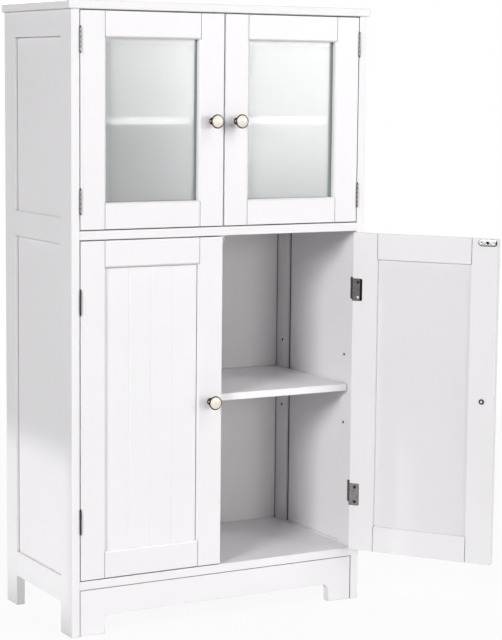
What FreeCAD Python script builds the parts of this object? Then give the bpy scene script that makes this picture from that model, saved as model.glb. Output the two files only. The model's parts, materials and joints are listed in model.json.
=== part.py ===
import FreeCAD, Part
import math
import os
from FreeCAD import Placement, Rotation, Vector

# A tall white cabinet with four inset doors: two frosted glass doors above a fixed board,
# two beaded panel doors below it. Millimetres, +Z up, +Y to the back, +X to the right of someone
# facing the doors. The origin is on the floor, under the middle of the carcass.

# Carcass, outside sizes
carcass_width = 574.0  # across the outer faces of the two sides
carcass_depth = 284.0  # front of the posts to their back
overall_height = 1071.0  # floor to the upper face of the top

# Top board
top_thickness = 14.0
top_side_overhang = 5.0
top_front_overhang = 3.0
top_round = 2.0  # rounding of the upper and lower arrises

# Side frames: stiles that run down as legs, three rails, two thin panels
side_thickness = 15.0
side_stile = 45.0
side_rail = 44.0
side_panel_thickness = 5.0
side_groove = 6.0  # depth of the panel groove
panel_play = 0.5  # room for a panel's edge in its groove
panel_seam = 2.0  # open line between a side panel and its stiles, inside
panel_seam_depth = 2.0
bottom_rail_level = 54.5  # underside of the lowest side rail
middle_rail_drop = 9.0  # middle side rail's underside below the fixed board's underside
arris = 0.7  # small easing on the edges of boards and doors

# Fixed boards, back and apron
board_thickness = 15.0
bottom_board_level = 81.0  # underside of the bottom board
middle_board_level = 677.0  # underside of the middle board
back_thickness = 3.0
back_inset = 3.0  # back panel's rear face in from the posts' backs
back_groove = 5.0
apron_thickness = 15.0
apron_setback = 2.0
apron_seam = 1.5  # open line round the apron's joints
apron_seam_depth = 2.5
apron_foot = 47.0  # width of each foot of the apron
arch_level = 33.0  # underside of the apron's arch
arch_radius = 13.0

# Adjustable shelves on pins
shelf_thickness = 12.5
shelf_clearance = 1.5  # between a shelf's end and the posts
shelf_front_room = 7.0  # between the closed doors' backs and a shelf
shelf_back_room = 2.0
lower_shelf_share = 0.495  # share of the lower space's height that lies under its shelf
upper_shelf_share = 0.481
pin_radius = 2.5
pin_fit = 0.05
pin_seat = 9.0  # depth of a pin in its post
pin_reach = 8.0  # how far a pin stands out of its post
pin_edge = 10.0  # pin's axis in from the post's inner edge
pin_back_edge = 18.0  # same, on the back post
pin_step = 63.0  # between the three heights a shelf can take
notch_depth = 5.0  # a shelf's notch over a pin
notch_play = 0.3

# Doors
door_thickness = 15.0
door_top_gap = 2.0
door_bottom_gap = 1.7
door_centre_gap = 3.2
door_stile = 47.0
glass_door_rail = 44.0
panel_door_rail = 46.0
sticking = 2.8  # bevel round the inside of each door frame
joint_line = 0.9  # fine seam between a rail and a stile
joint_depth = 1.6
open_angle = 125.5  # how far the lower right door stands open

# Glass, held in a rebate by clips
glass_thickness = 4.0
glass_rebate = 8.0
glass_play = 1.0
clip_width = 18.0
clip_thickness = 2.5
clip_corner = 2.5
clip_on_rail = 10.0
clip_lap = 3.0  # clip's reach past the rail's inner edge
clip_spread = 45.0  # each side of the door's middle

# Beaded panels of the lower doors
bead_panel_thickness = 5.0
bead_panel_recess = 5.0
bead_groove_depth = 8.0
bead_pitch = 42.0
bead_count = 3
bead_width = 4.0
bead_depth = 0.5

# Hinges: one leaf on the post, one wrapped round the door's edge on to its back
leaf_thickness = 0.7
leaf_room = 0.3  # between the two leaves of a shut hinge
leaf_corner = 2.5  # rounding of a leaf's outer corners
hinge_height = 40.0
knuckle_radius = 1.5
knuckle_stand = 0.3  # barrel clear of the door's front face
knuckle_gap = 0.5
knuckle_count = 5  # odd: the end ones are the post leaf's
hinge_pin_radius = 0.8
hinge_pin_fit = 0.05
pin_tip_length = 2.4
pin_tip_radius = 1.4
post_leaf_width = 16.0
door_leaf_width = 18.4
leaf_screw_spacing = 27.0
leaf_screw_inset = 8.0  # screw's axis in from the leaf's outer edge
upper_hinge_inset = 47.5  # hinge middle in from the door's top and bottom
lower_hinge_inset = 102.0

# Wood screws with flat heads
screw_radius = 1.3
screw_head_radius = 2.8
screw_length = 10.0
screw_fit = 0.05
recess_width = 0.8
recess_depth = 0.45
recess_arm = 1.6

# Knobs: a flared metal base with a domed ceramic face
knob_inset = 22.3  # knob's axis in from the door's free edge
lower_knob_raise = 2.0  # lower knobs above the middle of the door
upper_knob_raise = -1.2
knob_foot_radius = 6.2
knob_foot_height = 1.2
knob_neck_radius = 4.6
knob_neck_height = 8.0
knob_radius = 12.2
knob_cup_height = 18.8
knob_rim = 1.6
knob_lip = 1.6
knob_seat_depth = 1.2
knob_dome = 3.6
face_fit = 0.1
knob_screw_radius = 2.0
knob_screw_bite = 9.0
knob_screw_head_radius = 4.9
knob_screw_head_height = 2.2
knob_screw_clearance = 0.3
knob_recess_width = 1.2
knob_recess_depth = 1.0
knob_recess_arm = 2.3

# Magnetic catches and the strike plates that they hold
strike_length = 35.0
strike_width = 12.0
strike_thickness = 1.2
strike_inset = 18.0  # middle of the plate in from the free edge
strike_drop = 7.5  # middle of the plate below the door's top
dimple_spread = 11.0
dimple_radius = 3.0
dimple_depth = 0.5
catch_gap = 0.3
catch_length = 24.0
catch_height = 13.0
catch_depth = 16.0
catch_ear = 9.0
catch_ear_width = 8.0
catch_ear_thickness = 3.0
catch_round = 1.0
magnet_width = 8.0
magnet_height = 7.0
magnet_depth = 6.0
magnet_proud = 0.6
magnet_spread = 5.5

# Dowels in the joints of the carcass
dowel_radius = 4.0
dowel_length = 30.0
dowel_fit = 0.05
dowel_end_room = 0.5
dowel_seat = 9.0  # depth of a board's dowel in the post or the top

# Levels and planes that follow from those sizes
left = -carcass_width / 2
right = carcass_width / 2
front = -carcass_depth / 2
back = carcass_depth / 2
under_top = overall_height - top_thickness
post_face = left + side_thickness  # inner face of the left posts
back_face = back - back_inset - back_thickness  # front of the back panel
middle_board_top = middle_board_level + board_thickness
bottom_board_top = bottom_board_level + board_thickness
door_back = front + door_thickness
door_side_gap = 2 * leaf_thickness + leaf_room
hinge_edge = post_face + door_side_gap  # left doors' hinge edge
free_edge = -door_centre_gap / 2  # left doors' free edge
axis_x = post_face + door_side_gap / 2
axis_y = front - knuckle_radius - knuckle_stand
lower_door = (bottom_board_top + door_bottom_gap, middle_board_level - door_top_gap)
upper_door = (middle_board_top + door_top_gap, under_top - door_top_gap)
lower_shelf_level = bottom_board_top + lower_shelf_share * (middle_board_level - bottom_board_top)
upper_shelf_level = middle_board_top + upper_shelf_share * (under_top - middle_board_top)
side_rail_levels = {
    "top": under_top - side_rail,
    "middle": middle_board_level - middle_rail_drop,
    "bottom": bottom_rail_level,
}
knob_top = knob_cup_height + knob_rim

pieces = {}


def add(name, *solids):
    pieces.setdefault(name, []).extend(solids)


def box(x, y, z):
    corner = Vector(x[0], y[0], z[0])
    return Part.makeBox(x[1] - x[0], y[1] - y[0], z[1] - z[0], corner)


def mirrored(shape):
    return shape.mirror(Vector(0, 0, 0), Vector(1, 0, 0))


def placed(shape, point, direction):
    # turn a shape made along +Z to face a direction, and set its origin on a point
    turned = shape.copy()
    turned.Placement = Placement(point, Rotation(Vector(0, 0, 1), direction))
    return turned


def edges_on(shape, **plane):
    # straight edges whose two ends lie on all the given planes, such as x=0 and y=10
    def lies(edge):
        ends = [vertex.Point for vertex in edge.Vertexes]
        return all(abs(getattr(end, axis) - at) < 1e-6 for end in ends for axis, at in plane.items())

    return [edge for edge in shape.Edges if lies(edge)]


def eased(shape, size, *planes):
    # round the straight edges where pairs of planes meet
    edges = [edge for plane in planes for edge in edges_on(shape, **plane)]
    return shape.makeFillet(size, edges)


def cross_recess(arm, width, z):
    long_way = (-arm, arm)
    short_way = (-width / 2, width / 2)
    return box(long_way, short_way, z).fuse(box(short_way, long_way, z))


def flat_head_screw():
    # made along +Z from its head's face, which lies at the origin
    head = Part.makeCone(screw_head_radius, screw_radius, leaf_thickness)
    screw = head.fuse(Part.makeCylinder(screw_radius, screw_length)).removeSplitter()
    return screw.cut(cross_recess(recess_arm, recess_width, (0, recess_depth)))


def flat_head_hole():
    head = Part.makeCone(screw_head_radius + screw_fit, screw_radius + screw_fit, leaf_thickness)
    return head.fuse(Part.makeCylinder(screw_radius + screw_fit, screw_length + screw_fit))


def dowel_and_hole(middle, direction, offset=0.0):
    # a dowel whose middle stands off the joint's face by an offset
    start = middle + direction * (offset - dowel_length / 2)
    room = start - direction * dowel_end_room
    dowel = Part.makeCylinder(dowel_radius, dowel_length, start, direction)
    hole = Part.makeCylinder(dowel_radius + dowel_fit, dowel_length + 2 * dowel_end_room, room, direction)
    return dowel, hole


def left_dowels():
    # rails to stiles, boards to posts, posts to the top and the apron to the front post
    middle_x = left + side_thickness / 2
    board_shift = dowel_length / 2 - dowel_seat
    pairs = []
    for level in side_rail_levels.values():
        for y in (front + side_stile, back - side_stile):
            joint = Vector(middle_x, y, level + side_rail / 2)
            pairs.append(dowel_and_hole(joint, Vector(0, 1, 0)))
    for y in (front + side_stile / 2, back - side_stile / 2):
        for level in (bottom_board_level, middle_board_level):
            joint = Vector(post_face, y, level + board_thickness / 2)
            pairs.append(dowel_and_hole(joint, Vector(1, 0, 0), board_shift))
        pairs.append(dowel_and_hole(Vector(middle_x, y, under_top), Vector(0, 0, -1), board_shift))
    apron_y = front + apron_setback + apron_thickness / 2
    apron_z = (arch_level + bottom_board_level) / 2
    pairs.append(dowel_and_hole(Vector(post_face, apron_y, apron_z), Vector(1, 0, 0), board_shift))
    return pairs


def side_panel_space(low, high):
    # the room for a side panel, grooves included
    middle_x = left + side_thickness / 2
    return box(
        (middle_x - side_panel_thickness / 2, middle_x + side_panel_thickness / 2),
        (front + side_stile - side_groove, back - side_stile + side_groove),
        (low - side_groove, high + side_groove),
    )


def side_openings():
    levels = side_rail_levels
    return [
        (levels["bottom"] + side_rail, levels["middle"]),
        (levels["middle"] + side_rail, levels["top"]),
    ]


def pin_levels(shelf_level):
    # a pin's axis lies where the shelf's notch rests on it
    used = shelf_level + notch_depth - pin_radius - pin_fit
    return [used - pin_step, used, used + pin_step]


def pin_axes():
    return (front + side_stile - pin_edge, back - side_stile + pin_back_edge)


def pin_holes():
    inward = Vector(-1, 0, 0)
    holes = []
    for y in pin_axes():
        for level in pin_levels(lower_shelf_level) + pin_levels(upper_shelf_level):
            mouth = Vector(post_face, y, level)
            holes.append(Part.makeCylinder(pin_radius + pin_fit, pin_seat + pin_fit, mouth, inward))
    return holes


def left_shelf_pins():
    pins = []
    for y in pin_axes():
        for shelf_level in (lower_shelf_level, upper_shelf_level):
            level = pin_levels(shelf_level)[1]
            start = Vector(post_face - pin_seat, y, level)
            pins.append(Part.makeCylinder(pin_radius, pin_seat + pin_reach, start, Vector(1, 0, 0)))
    return pins


def left_side(holes):
    # one side frame: two stiles, three rails and two panels
    x = (left, post_face)
    openings = side_openings()
    spaces = [side_panel_space(*opening) for opening in openings]
    back_slot = box((post_face - back_groove, post_face), (back_face, back_face + back_thickness),
                    (bottom_board_level, under_top))
    made = {}

    front_y = (front, front + side_stile)
    stile = eased(box(x, front_y, (0, under_top)), arris, dict(x=left, y=front), dict(x=post_face, y=front),
                  dict(x=left, z=0), dict(x=post_face, z=0), dict(y=front, z=0))
    made["front_stile"] = stile.cut(spaces + holes)

    back_y = (back - side_stile, back)
    stile = eased(box(x, back_y, (0, under_top)), arris, dict(x=left, y=back), dict(x=left, z=0),
                  dict(x=post_face, z=0), dict(y=back - side_stile, z=0))
    made["back_stile"] = stile.cut(spaces + holes + [back_slot])

    rail_y = (front + side_stile, back - side_stile)
    for place, level in side_rail_levels.items():
        rail = box(x, rail_y, (level, level + side_rail))
        rail = eased(rail, arris / 2, dict(x=left, y=rail_y[0]), dict(x=left, y=rail_y[1]))
        made[place + "_rail"] = rail.cut(spaces + holes)

    made["side_panels"] = []
    for low, high in openings:
        space = side_panel_space(low, high).BoundBox
        panel = box((space.XMin, space.XMax), (space.YMin + panel_play, space.YMax - panel_play),
                    (space.ZMin + panel_play, space.ZMax - panel_play))
        seam_x = (space.XMax - panel_seam_depth, space.XMax)
        seams = [box(seam_x, (rail_y[0], rail_y[0] + panel_seam), (low, high)),
                 box(seam_x, (rail_y[1] - panel_seam, rail_y[1]), (low, high))]
        made["side_panels"].append(panel.cut(seams))
    return made


def top_panel(holes):
    x = (left - top_side_overhang, right + top_side_overhang)
    y = (front - top_front_overhang, back)
    panel = box(x, y, (under_top, overall_height))
    for z in (under_top, overall_height):
        panel = eased(panel, top_round, dict(x=x[0], z=z), dict(x=x[1], z=z), dict(y=y[0], z=z))
    return panel.cut(holes)


def fixed_board(level, holes):
    board = box((post_face, -post_face), (front, back_face), (level, level + board_thickness))
    board = eased(board, arris, dict(y=front, z=level), dict(y=front, z=level + board_thickness))
    return board.cut(holes)


def back_panel():
    reach = -post_face + back_groove - panel_play
    return box((-reach, reach), (back_face, back_face + back_thickness), (bottom_board_level, under_top))


def front_apron(holes):
    # a rail with a foot at each end, joined to it by a round inner corner, with a fine open seam
    # under the board and beside the posts
    y0 = front + apron_setback
    foot = -post_face - apron_foot
    bend = arch_radius * (1 - 0.5 ** 0.5)

    def at(x, z):
        return Vector(x, y0, z)

    outline = [at(foot, 0), at(-post_face, 0), at(-post_face, bottom_board_level),
               at(post_face, bottom_board_level), at(post_face, 0), at(-foot, 0),
               at(-foot, arch_level - arch_radius)]
    edges = [Part.LineSegment(a, b).toShape() for a, b in zip(outline, outline[1:])]
    left_arc = Part.Arc(outline[-1], at(-foot + bend, arch_level - bend), at(-foot + arch_radius, arch_level))
    arch = Part.LineSegment(at(-foot + arch_radius, arch_level), at(foot - arch_radius, arch_level))
    right_arc = Part.Arc(at(foot - arch_radius, arch_level), at(foot - bend, arch_level - bend),
                         at(foot, arch_level - arch_radius))
    foot_side = Part.LineSegment(at(foot, arch_level - arch_radius), outline[0])
    edges += [part.toShape() for part in (left_arc, arch, right_arc, foot_side)]
    apron = Part.Face(Part.Wire(edges)).extrude(Vector(0, apron_thickness, 0))
    seam_y = (y0, y0 + apron_seam_depth)
    inner = -post_face - apron_seam
    seams = [box((post_face, -post_face), seam_y, (bottom_board_level - apron_seam, bottom_board_level)),
             box((post_face, -inner), seam_y, (0, bottom_board_level)),
             box((inner, -post_face), seam_y, (0, bottom_board_level))]
    return apron.cut(seams + holes)


def shelf(level):
    # a loose board with a notch over each of its four pins
    x_end = -post_face - shelf_clearance
    y = (door_back + shelf_front_room, back_face - shelf_back_room)
    board = box((-x_end, x_end), y, (level, level + shelf_thickness))
    board = eased(board, arris, dict(y=y[0], z=level), dict(y=y[0], z=level + shelf_thickness))
    notch_x = x_end - (pin_reach - shelf_clearance) - notch_play
    for pin_y in pin_axes():
        for x in ((notch_x, x_end), (-x_end, -notch_x)):
            wide = (pin_y - pin_radius - notch_play, pin_y + pin_radius + notch_play)
            board = board.cut(box(x, wide, (level, level + notch_depth)))
    return board


def knuckle(z):
    length = z[1] - z[0]
    return Part.makeCylinder(knuckle_radius, length, Vector(axis_x, axis_y, z[0]))


def pin_bore(z):
    radius = hinge_pin_radius + hinge_pin_fit
    return Part.makeCylinder(radius, z[1] - z[0], Vector(axis_x, axis_y, z[0]))


def leaf_screw_points(x, y, middle):
    return [Vector(x, y, middle + turn * leaf_screw_spacing / 2) for turn in (-1, 1)]


def hinge(middle):
    # the two leaves, the pin and the screws of one hinge on the left post
    z = (middle - hinge_height / 2, middle + hinge_height / 2)
    pitch = hinge_height / knuckle_count
    spans = [(z[0] + index * pitch + knuckle_gap / 2, z[0] + (index + 1) * pitch - knuckle_gap / 2)
             for index in range(knuckle_count)]
    start = front + knuckle_stand
    bore = pin_bore(z)

    plate_x = (post_face, post_face + leaf_thickness)
    plate_end = front + post_leaf_width
    post_leaf = box(plate_x, (start, plate_end), z)
    post_leaf = eased(post_leaf, leaf_corner, dict(y=plate_end, z=z[0]), dict(y=plate_end, z=z[1]))
    for span in spans[0::2]:
        post_leaf = post_leaf.fuse([box(plate_x, (axis_y, start), span), knuckle(span)])
    post_points = leaf_screw_points(plate_x[1], plate_end - leaf_screw_inset, middle)

    edge_x = (hinge_edge - leaf_thickness, hinge_edge)
    wrap_y = (door_back, door_back + leaf_thickness)
    wrap_end = hinge_edge + door_leaf_width
    wrap = box((edge_x[0], wrap_end), wrap_y, z)
    wrap = eased(wrap, leaf_corner, dict(x=wrap_end, z=z[0]), dict(x=wrap_end, z=z[1]))
    door_leaf = box(edge_x, (start, wrap_y[1]), z)
    door_leaf = door_leaf.fuse(wrap)
    for span in spans[1::2]:
        door_leaf = door_leaf.fuse([box(edge_x, (axis_y, start), span), knuckle(span)])
    door_points = leaf_screw_points(wrap_end - leaf_screw_inset, wrap_y[1], middle)

    tip = Part.makeCone(pin_tip_radius, pin_tip_radius / 2, pin_tip_length)
    pin = Part.makeCylinder(hinge_pin_radius, hinge_height, Vector(axis_x, axis_y, z[0]))
    pin = pin.fuse([placed(tip, Vector(axis_x, axis_y, z[1]), Vector(0, 0, 1)),
                    placed(tip, Vector(axis_x, axis_y, z[0]), Vector(0, 0, -1))]).removeSplitter()

    into_post = Vector(-1, 0, 0)
    into_door = Vector(0, -1, 0)
    post_holes = [placed(flat_head_hole(), point, into_post) for point in post_points]
    door_holes = [placed(flat_head_hole(), point, into_door) for point in door_points]
    return {
        "post_leaf": post_leaf.removeSplitter().cut([bore] + post_holes),
        "door_leaf": door_leaf.removeSplitter().cut([bore] + door_holes),
        "pin": pin,
        "post_screws": [placed(flat_head_screw(), point, into_post) for point in post_points],
        "door_screws": [placed(flat_head_screw(), point, into_door) for point in door_points],
        "post_holes": post_holes,
        "door_holes": door_holes,
    }


def hinges_of(door, inset):
    return [hinge(door[0] + inset), hinge(door[1] - inset)]


def revolved(edges):
    face = Part.Face(Part.Wire(edges))
    return face.revolve(Vector(0, 0, 0), Vector(0, 0, 1), 360)


def line(a, b):
    return Part.LineSegment(Vector(a[0], 0, a[1]), Vector(b[0], 0, b[1])).toShape()


def arc(a, via, b):
    return Part.Arc(Vector(a[0], 0, a[1]), Vector(via[0], 0, via[1]), Vector(b[0], 0, b[1])).toShape()


def knob_base():
    # made along +Z from the door's face: a foot, a waisted neck and a flared cup with a thin rim
    bore = knob_screw_radius + screw_fit
    bore_end = knob_screw_bite + screw_fit
    seat = knob_radius - knob_lip
    floor = knob_top - knob_seat_depth
    foot = (knob_foot_radius - knob_foot_height / 2, knob_foot_height)
    waist_end = (knob_neck_radius + knob_foot_height, (knob_neck_height + knob_cup_height) / 2)
    flare = ((knob_neck_radius + knob_radius) / 2 - knob_rim / 2, knob_cup_height - 2 * knob_rim)
    outline = [(bore, 0), (knob_foot_radius, 0), foot]
    rim = [(knob_radius, knob_cup_height), (knob_radius, knob_top), (seat, knob_top), (seat, floor),
           (0, floor), (0, bore_end), (bore, bore_end), (bore, 0)]
    edges = [line(a, b) for a, b in zip(outline, outline[1:])]
    edges.append(arc(foot, (knob_neck_radius, knob_neck_height), waist_end))
    edges.append(arc(waist_end, flare, rim[0]))
    edges += [line(a, b) for a, b in zip(rim, rim[1:])]
    return revolved(edges)


def knob_face():
    # a shallow ceramic dome that sits in the cup
    radius = knob_radius - knob_lip - face_fit
    floor = knob_top - knob_seat_depth
    crown = knob_top + knob_dome
    ball = (radius ** 2 + knob_dome ** 2) / (2 * knob_dome)
    half_angle = math.asin(radius / ball) / 2
    shoulder = (ball * math.sin(half_angle), crown - ball + ball * math.cos(half_angle))
    edges = [line((0, floor), (radius, floor)), line((radius, floor), (radius, knob_top)),
             arc((radius, knob_top), shoulder, (0, crown)), line((0, crown), (0, floor))]
    return revolved(edges)


def knob_screw():
    # made along +Z from the underside of its head towards the knob
    top = -knob_screw_head_height
    head = Part.makeCylinder(knob_screw_head_radius, knob_screw_head_height, Vector(0, 0, top))
    head = eased_round(head, knob_screw_head_height / 2, top)
    screw = head.fuse(Part.makeCylinder(knob_screw_radius, door_thickness + knob_screw_bite)).removeSplitter()
    return screw.cut(cross_recess(knob_recess_arm, knob_recess_width, (top, top + knob_recess_depth)))


def eased_round(shape, size, z):
    # round the circular edge of a turned piece at a height
    edges = [edge for edge in shape.Edges
             if len(edge.Vertexes) == 1 and abs(edge.Vertexes[0].Point.z - z) < 1e-6]
    return shape.makeFillet(size, edges)


def strike_plate(middle):
    # a plate with round ends, a screw hole and two dimples, on the door's back
    r = strike_width / 2
    run = strike_length / 2 - r
    y = (door_back, door_back + strike_thickness)
    plate = box((middle.x - run, middle.x + run), y, (middle.z - r, middle.z + r))
    dimple_y = y[1] + dimple_radius - dimple_depth
    ends, dimples = [], []
    for side in (-1, 1):
        end = Vector(middle.x + side * run, y[0], middle.z)
        ends.append(Part.makeCylinder(r, strike_thickness, end, Vector(0, 1, 0)))
        dimple = Vector(middle.x + side * dimple_spread, dimple_y, middle.z)
        dimples.append(Part.makeSphere(dimple_radius, dimple))
    return plate.fuse(ends).removeSplitter().cut(dimples)


def left_door(door, rail, glazed, hinge_inset, knob_raise):
    # one left-hand door, shut
    stiles, rails = door_frame(door, rail)
    z_low, z_high = door
    hinges = hinges_of(door, hinge_inset)
    made = {"hinge_leaves": [one["door_leaf"] for one in hinges]}
    screws = [screw for one in hinges for screw in one["door_screws"]]
    holes = [hole for one in hinges for hole in one["door_holes"]]
    into_door = Vector(0, -1, 0)

    strike_at = Vector(free_edge - strike_inset, door_back + strike_thickness, z_high - strike_drop)
    strike_hole = placed(flat_head_hole(), strike_at, into_door)
    made["strike_plate"] = [strike_plate(strike_at).cut(strike_hole)]
    screws.append(placed(flat_head_screw(), strike_at, into_door))
    holes.append(strike_hole)

    knob_x = free_edge - knob_inset
    knob_z = (z_low + z_high) / 2 + knob_raise
    made["knob_base"] = [placed(knob_base(), Vector(knob_x, front, knob_z), into_door)]
    made["knob_face"] = [placed(knob_face(), Vector(knob_x, front, knob_z), into_door)]
    screws.append(placed(knob_screw(), Vector(knob_x, door_back, knob_z), into_door))
    holes.append(Part.makeCylinder(knob_screw_radius + knob_screw_clearance, door_thickness,
                                   Vector(knob_x, front, knob_z), Vector(0, 1, 0)))

    if glazed:
        space, made["glass"] = glass_pane(door, rail)
        made["glass_clips"], clip_screws, clip_holes = glass_clips(door, rail)
        screws += clip_screws
        holes += clip_holes
    else:
        space, made["panel"] = bead_panel(door, rail)
    made["stiles"] = [stile.cut([space] + holes) for stile in stiles]
    made["rails"] = [one.cut([space] + holes) for one in rails]
    made["screws"] = screws
    return made


def door_frame(door, rail):
    # stiles with a bevelled inner arris, and rails whose ends are scribed over that bevel, with a
    # fine open seam at each joint on both faces
    z_low, z_high = door
    y = (front, door_back)
    inner = (hinge_edge + door_stile, free_edge - door_stile)
    stiles = []
    for outer_x, inner_x in ((hinge_edge, inner[0]), (free_edge, inner[1])):
        stile = box(sorted((outer_x, inner_x)), y, door)
        stile = stile.makeChamfer(sticking, edges_on(stile, x=inner_x, y=front))
        stiles.append(eased(stile, arris, dict(x=outer_x, y=front), dict(x=outer_x, y=door_back)))
    rail_x = (inner[0] - sticking + joint_line, inner[1] + sticking - joint_line)
    seams = ((inner[0] - sticking, rail_x[0], front), (rail_x[1], inner[1] + sticking, front),
             (inner[0] - joint_line, inner[0], door_back - joint_depth),
             (inner[1], inner[1] + joint_line, door_back - joint_depth))
    rails, slots = [], []
    for span, inner_z, outer_z in (((z_high - rail, z_high), z_high - rail, z_high),
                                   ((z_low, z_low + rail), z_low + rail, z_low)):
        one = box(rail_x, y, span)
        one = one.makeChamfer(sticking, edges_on(one, y=front, z=inner_z))
        one = eased(one, arris, dict(y=front, z=outer_z))
        rails.append(one.cut(stiles))
        slots += [box(seam[:2], (seam[2], seam[2] + joint_depth), span) for seam in seams]
    return [stile.cut(slots) for stile in stiles], [one.cut(slots) for one in rails]


def glass_pane(door, rail):
    # the rebate behind the frame's inner edge, and the pane that fills it
    x = (hinge_edge + door_stile - glass_rebate, free_edge - door_stile + glass_rebate)
    z = (door[0] + rail - glass_rebate, door[1] - rail + glass_rebate)
    y = (door_back - glass_thickness, door_back)
    pane = box((x[0] + glass_play, x[1] - glass_play), y, (z[0] + glass_play, z[1] - glass_play))
    return box(x, y, z), [pane]


def glass_clips(door, rail):
    # two clips on each rail, screwed to the frame and lapping the pane
    middle = (hinge_edge + free_edge) / 2
    into_door = Vector(0, -1, 0)
    y = (door_back, door_back + clip_thickness)
    clips, screws, holes = [], [], []
    for edge, outward in ((door[1] - rail, 1), (door[0] + rail, -1)):
        ends = sorted((edge - outward * clip_lap, edge + outward * (glass_rebate + clip_on_rail)))
        for side in (-1, 1):
            x = middle + side * clip_spread
            clip = box((x - clip_width / 2, x + clip_width / 2), y, ends)
            corners = [edge_line for edge_line in clip.Edges if abs(edge_line.tangentAt(0).y) > 0.5]
            point = Vector(x, y[1], edge + outward * (glass_rebate + clip_on_rail / 2))
            hole = placed(flat_head_hole(), point, into_door)
            clips.append(clip.makeFillet(clip_corner, corners).cut(hole))
            screws.append(placed(flat_head_screw(), point, into_door))
            holes.append(hole)
    return clips, screws, holes


def bead_panel(door, rail):
    # the groove inside the frame, and the thin panel with upright V grooves that fills it
    x = (hinge_edge + door_stile - bead_groove_depth, free_edge - door_stile + bead_groove_depth)
    z = (door[0] + rail - bead_groove_depth, door[1] - rail + bead_groove_depth)
    y = (front + bead_panel_recess, front + bead_panel_recess + bead_panel_thickness)
    z_panel = (z[0] + panel_play, z[1] - panel_play)
    panel = box((x[0] + panel_play, x[1] - panel_play), y, z_panel)
    middle = (x[0] + x[1]) / 2
    for index in range(bead_count):
        centre = middle + (index - (bead_count - 1) / 2) * bead_pitch
        corners = [Vector(centre - bead_width / 2, y[0], z_panel[0]),
                   Vector(centre, y[0] + bead_depth, z_panel[0]),
                   Vector(centre + bead_width / 2, y[0], z_panel[0])]
        vee = Part.Face(Part.makePolygon(corners + corners[:1]))
        panel = panel.cut(vee.extrude(Vector(0, 0, z_panel[1] - z_panel[0])))
    # a fine seam at the panel's sides and top where it meets the frame
    edge_x = (hinge_edge + door_stile, free_edge - door_stile)
    edge_z = (door[0] + rail, door[1] - rail)
    seam_y = (y[0], y[0] + joint_depth)
    seams = [box((edge_x[0], edge_x[0] + joint_line), seam_y, edge_z),
             box((edge_x[1] - joint_line, edge_x[1]), seam_y, edge_z),
             box(edge_x, seam_y, (edge_z[1] - joint_line, edge_z[1]))]
    return box(x, y, z), [panel.cut(seams)]


def catch(level):
    # a housing with two ears under a board, its two magnets, and a screw through each ear
    y0 = door_back + strike_thickness + catch_gap + magnet_proud
    half = catch_length / 2
    low = level - catch_height
    body = box((-half, half), (y0, y0 + catch_depth), (low, level))
    uprights = [edge for edge in body.Edges if abs(edge.tangentAt(0).z) > 0.5]
    body = body.makeFillet(catch_round, uprights)
    body = eased(body, catch_round / 2, dict(y=y0, z=low))
    middle_y = y0 + catch_depth / 2
    ear_y = (middle_y - catch_ear_width / 2, middle_y + catch_ear_width / 2)
    ears = box((-half - catch_ear, half + catch_ear), ear_y, (level - catch_ear_thickness, level))
    body = body.fuse(ears).removeSplitter()
    magnet_z = level - strike_drop - door_top_gap
    magnets = []
    for side in (-1, 1):
        x = side * magnet_spread
        magnets.append(box((x - magnet_width / 2, x + magnet_width / 2),
                           (y0 - magnet_proud, y0 + magnet_depth),
                           (magnet_z - magnet_height / 2, magnet_z + magnet_height / 2)))
    points = [Vector(side * (half + catch_ear / 2), middle_y, level - catch_ear_thickness)
              for side in (-1, 1)]
    holes = [placed(flat_head_hole(), point, Vector(0, 0, 1)) for point in points]
    screws = [placed(flat_head_screw(), point, Vector(0, 0, 1)) for point in points]
    return body.cut(magnets + holes), magnets, screws, holes


def build_carcass(left_hinges):
    pairs = left_dowels()
    dowels = [dowel for dowel, hole in pairs]
    left_holes = [hole for dowel, hole in pairs]
    both_holes = left_holes + [mirrored(hole) for hole in left_holes]
    post_holes = [hole for one in left_hinges for hole in one["post_holes"]]
    catches = [catch(under_top), catch(middle_board_level)]
    catch_holes = [hole for one in catches for hole in one[3]]

    add("top_panel", top_panel(both_holes + catch_holes))
    add("middle_board", fixed_board(middle_board_level, both_holes + catch_holes))
    add("bottom_board", fixed_board(bottom_board_level, both_holes))
    add("back_panel", back_panel())
    add("front_apron", front_apron(both_holes))
    add("upper_shelf", shelf(upper_shelf_level))
    add("lower_shelf", shelf(lower_shelf_level))
    for name, made in left_side(left_holes + pin_holes() + post_holes).items():
        solids = made if isinstance(made, list) else [made]
        add("left_" + name, *solids)
        add("right_" + name, *[mirrored(solid) for solid in solids])
    for body, magnets, screws, holes in catches:
        add("catch_housings", body)
        add("catch_magnets", *magnets)
        add("carcass_screws", *screws)
    both = [
        ("shelf_pins", left_shelf_pins()),
        ("dowels", dowels),
        ("hinge_post_leaves", [one["post_leaf"] for one in left_hinges]),
        ("hinge_pins", [one["pin"] for one in left_hinges]),
        ("carcass_screws", [screw for one in left_hinges for screw in one["post_screws"]]),
    ]
    for name, solids in both:
        add(name, *solids)
        add(name, *[mirrored(solid) for solid in solids])


def build_doors():
    upper = left_door(upper_door, glass_door_rail, True, upper_hinge_inset, upper_knob_raise)
    lower = left_door(lower_door, panel_door_rail, False, lower_hinge_inset, lower_knob_raise)
    pivot = Vector(-axis_x, axis_y, 0)
    for level, made in (("upper", upper), ("lower", lower)):
        for name, solids in made.items():
            add(level + "_left_door_" + name, *solids)
            right_hand = [mirrored(solid) for solid in solids]
            if level == "lower":
                for solid in right_hand:
                    solid.rotate(pivot, Vector(0, 0, 1), open_angle)
            add(level + "_right_door_" + name, *right_hand)


build_carcass(hinges_of(upper_door, upper_hinge_inset) + hinges_of(lower_door, lower_hinge_inset))
build_doors()

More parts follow.
